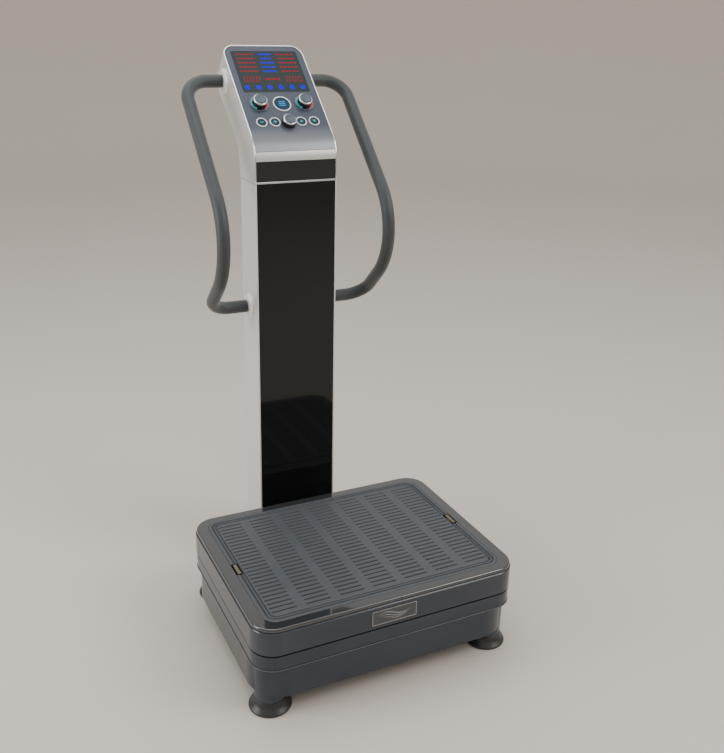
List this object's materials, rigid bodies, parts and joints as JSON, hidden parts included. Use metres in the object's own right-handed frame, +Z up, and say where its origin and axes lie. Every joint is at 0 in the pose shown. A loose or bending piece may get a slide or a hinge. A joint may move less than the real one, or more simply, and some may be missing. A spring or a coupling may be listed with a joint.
{
  "type": "vibration plate exercise machine",
  "caption": "Rocking vibration platform on a low housing, with a tall column, a tilted control console and two bent foam-covered handles.",
  "frame": {"origin": "floor level, at the centre of the object's footprint box", "axes": "+X to the user's right, +Y away from the user towards the column, +Z up"},
  "size_m": [0.695, 0.9056, 1.4499],
  "materials": {
    "housing": "moulded satin slate plastic",
    "gloss_rim": "polished near-black plastic",
    "mat": "matt slate rubber",
    "black_rubber": "matt black rubber",
    "zinc": "zinc plated",
    "frame_paint": "black powder coat",
    "silver_metal": "satin anodised silver",
    "silver_paint": "satin silver paint",
    "silver_plastic": "silver lacquer",
    "black_glass": "polished black back-painted glass",
    "black_gloss": "polished black plastic",
    "dark_trim": "satin dark grey plastic",
    "fascia": "satin slate blue film",
    "screen": "smoked display window",
    "red_lamp": "lit red lenses",
    "blue_lamp": "lit blue lenses",
    "arc_lamp": "lit ring behind the dial",
    "board": "circuit board laminate",
    "white_ring": "glossy white ring",
    "steel_tube": "plain steel tube",
    "foam": "matt dark grey foam",
    "polished": "polished metal",
    "dark_metal": "dark grey paint",
    "cast": "machined casting",
    "pulley": "machined",
    "plate": "brushed plate with a bright border",
    "brass": "satin brass",
    "knob": "black knob",
    "blue_button": "lit blue button",
    "teal_button": "lit teal button"
  },
  "bodies": {
    "base": {"lower_housing": "housing", "base_gasket": "black_rubber", "rubber_feet": "black_rubber", "foot_bolts": "zinc", "chassis_frame": "frame_paint", "rubber_buffers": "black_rubber", "column_post": "frame_paint", "column_side_left": "silver_metal", "column_side_right": "silver_metal", "column_front_panel": "black_glass", "column_rear_cover": "silver_paint", "joint_trim": "silver_metal", "head_shell": "silver_plastic", "head_band": "black_gloss", "head_lip": "silver_plastic", "console_fascia": "fascia", "display_window": "screen", "red_lenses": "red_lamp", "blue_lenses": "blue_lamp", "display_board": "board", "dial_bezels": "black_gloss", "dial_scale_rings": "arc_lamp", "button_board": "board", "button_rings": "white_ring", "handle_tube_left": "steel_tube", "handle_tube_right": "steel_tube", "grip_left": "foam", "grip_right": "foam", "handle_flanges": "polished", "tail_cover": "dark_trim", "power_inlet": "dark_trim", "switch_housing": "dark_trim", "rocking_motor": "dark_metal", "crank_bearings": "cast", "drive_belt": "black_rubber", "control_unit": "dark_metal", "rear_screws": "zinc"},
    "carriage": {"carriage": "frame_paint", "vibration_motor": "dark_metal"},
    "platform": {"platform_deck": "frame_paint", "platform_shell": "housing", "top_frame": "gloss_rim", "tread_mat": "mat", "nameplate": "plate", "strap_anchors": "brass"},
    "motor_pulley": {"motor_pulley": "pulley"},
    "crank_shaft": {"crank_shaft": "pulley"},
    "vibration_weights": {"vibration_weights": "cast"},
    "left_dial": {"left_dial": "knob", "left_dial_cap": "polished"},
    "right_dial": {"right_dial": "knob", "right_dial_cap": "polished"},
    "centre_dial": {"centre_dial": "knob", "centre_dial_cap": "polished"},
    "start_button": {"start_button": "blue_button"},
    "button_1": {"button_1": "teal_button"},
    "button_2": {"button_2": "teal_button"},
    "button_3": {"button_3": "teal_button"},
    "button_4": {"button_4": "teal_button"},
    "power_rocker": {"power_rocker": "black_gloss"}
  },
  "joints": [
    {"name": "carriage_shake", "type": "slide", "parent": "base", "child": "carriage", "axis": [0, 0, 1], "range_m": [-0.001, 0.001], "stiffness_N_per_m": 900000, "springref_m": 0.00045},
    {"name": "platform_rock", "type": "hinge", "parent": "carriage", "child": "platform", "pos_m": [0, -0.18734, 0.15], "axis": [0, 1, 0], "range_deg": [-0.4, 0.4], "stiffness_Nm_per_rad": 25000},
    {"name": "crank_spin", "type": "hinge", "parent": "base", "child": "crank_shaft", "pos_m": [0.05, -0.17234, 0.136], "axis": [0, 1, 0], "continuous": true},
    {"name": "motor_spin", "type": "hinge", "parent": "base", "child": "motor_pulley", "pos_m": [-0.12, -0.17234, 0.116], "axis": [0, 1, 0], "continuous": true},
    {"name": "weights_spin", "type": "hinge", "parent": "carriage", "child": "vibration_weights", "pos_m": [0.13, -0.18734, 0.144], "axis": [0, 1, 0], "continuous": true},
    {"name": "left_dial_turn", "type": "hinge", "parent": "base", "child": "left_dial", "pos_m": [-0.063, 0.26596, 1.30767], "axis": [0, -0.682, 0.7314], "range_deg": [-135, 135]},
    {"name": "right_dial_turn", "type": "hinge", "parent": "base", "child": "right_dial", "pos_m": [0.063, 0.26596, 1.30767], "axis": [0, -0.682, 0.7314], "range_deg": [-135, 135]},
    {"name": "centre_dial_turn", "type": "hinge", "parent": "base", "child": "centre_dial", "pos_m": [0, 0.21732, 1.26232], "axis": [0, -0.682, 0.7314], "range_deg": [-135, 135]},
    {"name": "start_press", "type": "slide", "parent": "base", "child": "start_button", "axis": [0, 0.682, -0.7314], "range_m": [0, 0.0018], "stiffness_N_per_m": 450},
    {"name": "button_1_press", "type": "slide", "parent": "base", "child": "button_1", "axis": [0, 0.682, -0.7314], "range_m": [0, 0.0018], "stiffness_N_per_m": 300},
    {"name": "button_2_press", "type": "slide", "parent": "base", "child": "button_2", "axis": [0, 0.682, -0.7314], "range_m": [0, 0.0018], "stiffness_N_per_m": 300},
    {"name": "button_3_press", "type": "slide", "parent": "base", "child": "button_3", "axis": [0, 0.682, -0.7314], "range_m": [0, 0.0018], "stiffness_N_per_m": 300},
    {"name": "button_4_press", "type": "slide", "parent": "base", "child": "button_4", "axis": [0, 0.682, -0.7314], "range_m": [0, 0.0018], "stiffness_N_per_m": 300},
    {"name": "power_switch", "type": "hinge", "parent": "base", "child": "power_rocker", "pos_m": [0.045, 0.28666, 0.076], "axis": [1, 0, 0], "range_deg": [-18, 0]}
  ],
  "couplings": [
    {"joint": "motor_spin", "follows": "crank_spin", "ratio": 1.8974}
  ]
}
